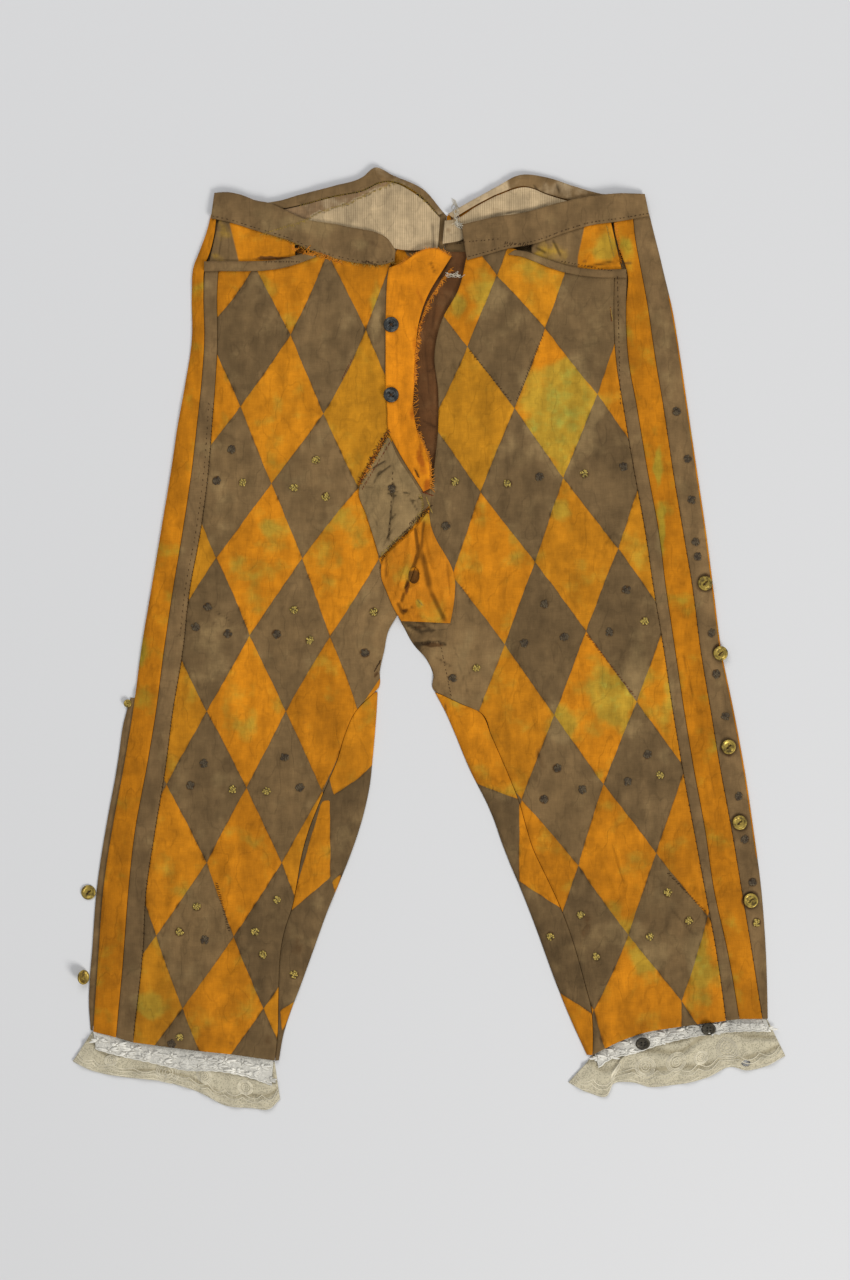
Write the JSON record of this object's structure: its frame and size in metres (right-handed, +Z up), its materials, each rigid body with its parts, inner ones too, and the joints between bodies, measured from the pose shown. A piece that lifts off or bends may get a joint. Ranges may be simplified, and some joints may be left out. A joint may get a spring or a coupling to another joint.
{
  "type": "knee breeches",
  "caption": "Theatrical knee breeches pieced from orange and brown lozenges, laid flat front up, with side stripes, open fly, side buttons and lace at the knees",
  "frame": {"origin": "on the surface the breeches lie on, under the middle of their laid outline", "axes": "+X towards the wearer's left leg, +Y from the knees to the waist, +Z up out of the surface, towards a viewer of the front"},
  "size_m": [0.641, 0.8472, 0.0107],
  "materials": {
    "brown_orange_lozenges": "matt plain-woven cotton, pieced from orange and brown lozenges",
    "orange_cotton": "matt plain-woven cotton, faded golden in places",
    "brown_cotton": "matt brown cotton, rubbed at the edges",
    "pocket_facing": "matt cotton, brown joined to orange",
    "dark_facing": "dark brown twill",
    "faded_brown": "faded brown cotton, creased",
    "striped_lining": "cream cotton with a fine woven stripe",
    "white_lace": "white machine lace",
    "cream_lace": "yellowed machine lace",
    "brass": "worn stamped brass",
    "blackened_metal": "blackened metal, rubbed at the rim"
  },
  "bodies": {
    "root": {"front_right": "brown_orange_lozenges", "front_left": "brown_orange_lozenges", "back_right": "brown_orange_lozenges", "back_left": "brown_orange_lozenges", "inseam_right": "brown_orange_lozenges", "inseam_left": "brown_orange_lozenges", "side_stripe_right": "orange_cotton", "side_stripe_left": "orange_cotton", "fly_stand": "orange_cotton", "gusset": "orange_cotton", "side_tape_right": "brown_cotton", "side_tape_left": "brown_cotton", "button_strip_right": "brown_cotton", "button_strip_left": "brown_cotton", "waistband_right": "brown_cotton", "waistband_left": "brown_cotton", "back_band_right": "brown_cotton", "back_band_left": "brown_cotton", "pocket_binding_right": "brown_cotton", "pocket_binding_left": "brown_cotton", "pocket_facing_right": "pocket_facing", "pocket_facing_left": "pocket_facing", "fly_facing": "dark_facing", "crotch_patch": "faded_brown", "lining_right": "striped_lining", "lining_left": "striped_lining", "lace_white_right": "white_lace", "lace_white_left": "white_lace", "lace_cream_right": "cream_lace", "lace_cream_left": "cream_lace", "side_button_left_1": "brass", "side_button_left_2": "brass", "side_button_left_3": "brass", "side_button_left_4": "brass", "side_button_left_5": "brass", "side_button_right_1": "brass", "side_button_right_2": "brass", "side_button_right_3": "brass", "fly_button_1": "blackened_metal", "fly_button_2": "blackened_metal", "knee_button_1": "blackened_metal", "knee_button_2": "blackened_metal"}
  },
  "joints": []
}
